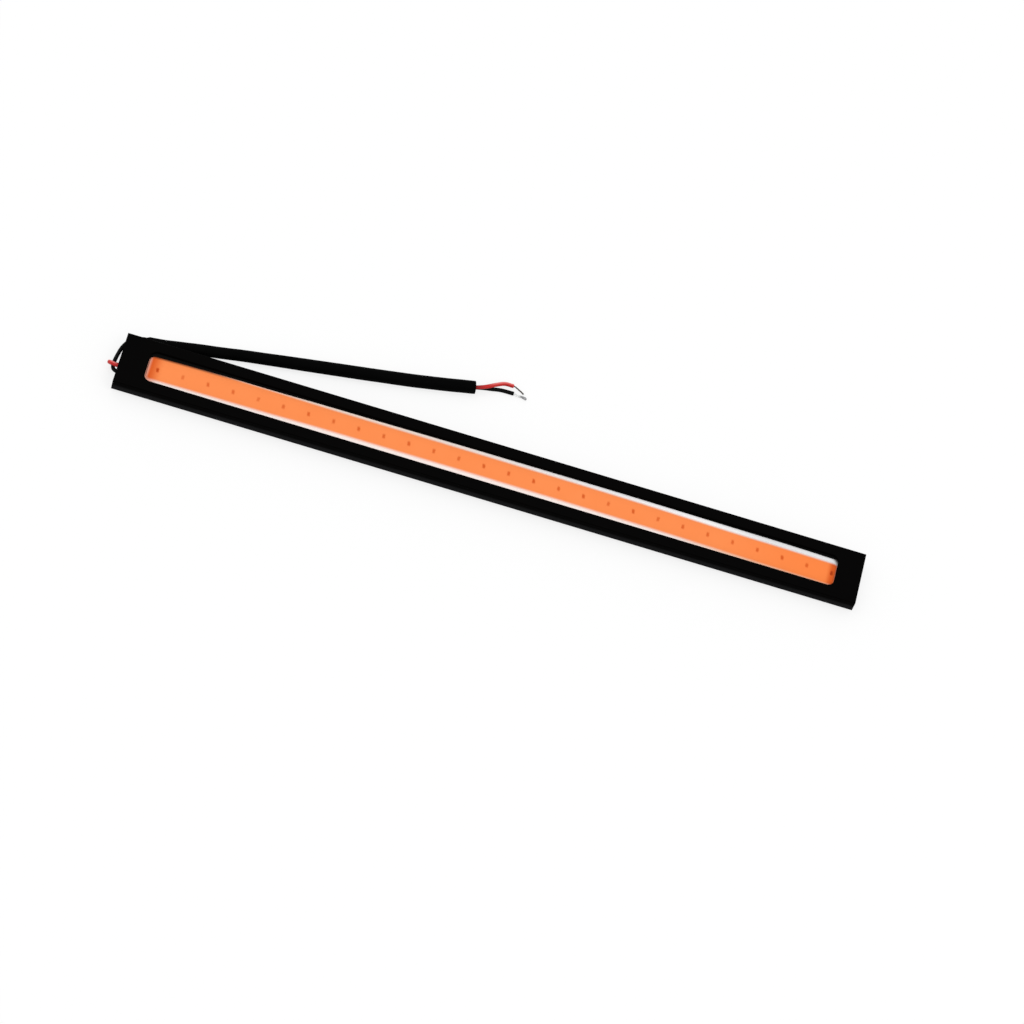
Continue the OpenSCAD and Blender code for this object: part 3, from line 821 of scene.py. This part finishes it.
def red_insulation():
    """Red, darker in painted shade just outside the sleeve and paler with a painted highlight on the
    upper side of both bends.
    """
    finish = Finish("red_pvc", (0.52, 0.02, 0.018), 0.35, Specular_IOR_Level=0.14)
    x = finish.axis("X")
    mouth = LEAD_END + SLEEVE_ROUTE[-1][0]
    wear_and_shade = finish.mix(finish.noise(180, 3), (0.48, 0.018, 0.016), (0.56, 0.026, 0.023))
    # Painted shade: darker just outside the sleeve's mouth, where the sleeve shades the wire
    outside = finish.fade(x, mouth + 2.8, mouth, 0.0, 0.8)
    deep = finish.math("MULTIPLY", finish.fade(x, mouth - 6, mouth - 4), outside)
    wear_and_shade = finish.mix(deep, wear_and_shade, (0.2, 0.006, 0.008))
    tail_bend = finish.fade(x, mouth + 2.5, mouth + 4.5)
    loop_bend = finish.fade(x, LEAD_END, LEAD_END - 1)
    bend = finish.math("ADD", tail_bend, loop_bend, clamp=True)
    # Painted highlight: paler on the upper side of both bends, where the key lamp meets them
    up = finish.fade(finish.facing((0, 0.6, 0.8)), 0.45, 0.9, 0.0, 0.95)
    painted_sheen = finish.math("MULTIPLY", bend, up)
    finish.colour(finish.mix(painted_sheen, wear_and_shade, (0.74, 0.17, 0.16)))
    finish.bump((finish.noise(1800, 3), 0.00001, 0.35))
    return finish.material


def show_node(name, material):
    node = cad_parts[name]
    if node.material_slots:
        node.material_slots[0].material = material
    else:
        node.data.materials.append(material)


show_node("housing", anodised_black())
seal_bead.data.materials.append(seal_rubber())
show_node("circuit_board", white_mask())
show_node("led_dies", plain_finish("die", (0.5, 0.2, 0.08), 0.3, 4000, 0.000004))
show_node("solder_joints", plain_finish(
    "solder", (0.7, 0.7, 0.72), 0.28, 2500, 0.00001, Metallic=1.0))
show_node("conductor_ends", plain_finish(
    "copper", (0.72, 0.42, 0.26), 0.35, 4000, 0.000008, Metallic=1.0))
show_node("resistors", plain_finish("resistor", (0.03, 0.03, 0.033), 0.4, 5000, 0.000006))
show_node("potting", plain_finish("potting", (0.012, 0.012, 0.0125), 0.3, 500, 0.00004))
plug = plain_finish(
    "plug_rubber", (0.006, 0.006, 0.006), 0.55, 900, 0.00003, Specular_IOR_Level=0.2)
show_node("lead_plug", plug)
show_node("plain_plug", plug)
show_node("foam_tape", foam())
show_node("release_liner", plain_finish("liner_film", (0.55, 0.03, 0.025), 0.25, 700, 0.00001))

red_jacket.data.materials.append(red_insulation())
black_jacket.data.materials.append(plain_finish(
    "black_pvc", (0.0012, 0.0012, 0.0012), 0.5, 1800, 0.00001, Specular_IOR_Level=0.06))
sleeve_tube.data.materials.append(plain_finish(
    "sleeve_pvc", (0.001, 0.001, 0.001), 0.6, 1500, 0.00002, Specular_IOR_Level=0.015))
red_tip.data.materials.append(plain_finish(
    "dull_tinned", (0.13, 0.11, 0.1), 0.5, 4000, 0.00001, Metallic=1.0))
black_tip.data.materials.append(tinned_copper())
phosphor.data.materials.append(phosphor_gel())


# Floor, world and lamps
FLOOR_SIZE = 8
FLOOR_DROP = 0.00002
FLOOR_OWN_LIGHT = 0.78
WORLD_STRENGTH = 0.88
WORLD_SEEN_STRENGTH = 1.0


def make_floor():
    bpy.ops.mesh.primitive_plane_add(size=FLOOR_SIZE, location=(0, 0, -FLOOR_DROP))
    floor = bpy.context.active_object
    floor.name = "floor"
    finish = Finish("floor_white", (0.93, 0.93, 0.93), 0.95, Specular_IOR_Level=0.0)
    finish.colour(finish.mix(finish.noise(3, 2), (0.93, 0.93, 0.93), (0.935, 0.935, 0.935)))
    # Seen by the camera, the floor is partly its own light, which leaves the shadow faint
    tree = finish.tree
    glow = tree.nodes.new("ShaderNodeEmission")
    glow.inputs["Color"].default_value = (1, 1, 1, 1)
    seen = tree.nodes.new("ShaderNodeLightPath").outputs["Is Camera Ray"]
    blend = tree.nodes.new("ShaderNodeMixShader")
    tree.links.new(finish.math("MULTIPLY", seen, FLOOR_OWN_LIGHT), blend.inputs[0])
    tree.links.new(finish.shader.outputs[0], blend.inputs[1])
    tree.links.new(glow.outputs[0], blend.inputs[2])
    tree.links.new(blend.outputs[0], tree.nodes["Material Output"].inputs["Surface"])
    floor.data.materials.append(finish.material)


def make_world():
    """Plain light from all round, and white where the camera or a reflection meets it."""
    world = bpy.data.worlds.new("studio")
    world.use_nodes = True
    bpy.context.scene.world = world
    tree = world.node_tree
    background = tree.nodes["Background"]
    background.inputs["Color"].default_value = (1, 1, 1, 1)
    path = tree.nodes.new("ShaderNodeLightPath")
    seen = path.outputs["Is Camera Ray"]
    for ray in ("Is Transmission Ray", "Is Glossy Ray"):
        larger = tree.nodes.new("ShaderNodeMath")
        larger.operation = "MAXIMUM"
        tree.links.new(seen, larger.inputs[0])
        tree.links.new(path.outputs[ray], larger.inputs[1])
        seen = larger.outputs[0]
    strength = tree.nodes.new("ShaderNodeMapRange")
    strength.inputs["To Min"].default_value = WORLD_STRENGTH
    strength.inputs["To Max"].default_value = WORLD_SEEN_STRENGTH
    tree.links.new(seen, strength.inputs["Value"])
    tree.links.new(strength.outputs["Result"], background.inputs["Strength"])


def make_lamp(name, place, size, power):
    data = bpy.data.lights.new(name, "AREA")
    data.shape = "DISK"
    data.size = size
    data.energy = power
    lamp = bpy.data.objects.new(name, data)
    bpy.context.scene.collection.objects.link(lamp)
    lamp.location = place
    lamp.rotation_euler = Vector(place).to_track_quat("Z", "Y").to_euler()


make_floor()
make_world()
make_lamp("key", (-0.5, 0.25, 1.6), size=1.0, power=3.45)
make_lamp("fill", (0.7, -0.5, 1.4), size=1.0, power=3.4)
bpy.context.scene.view_settings.view_transform = "Standard"
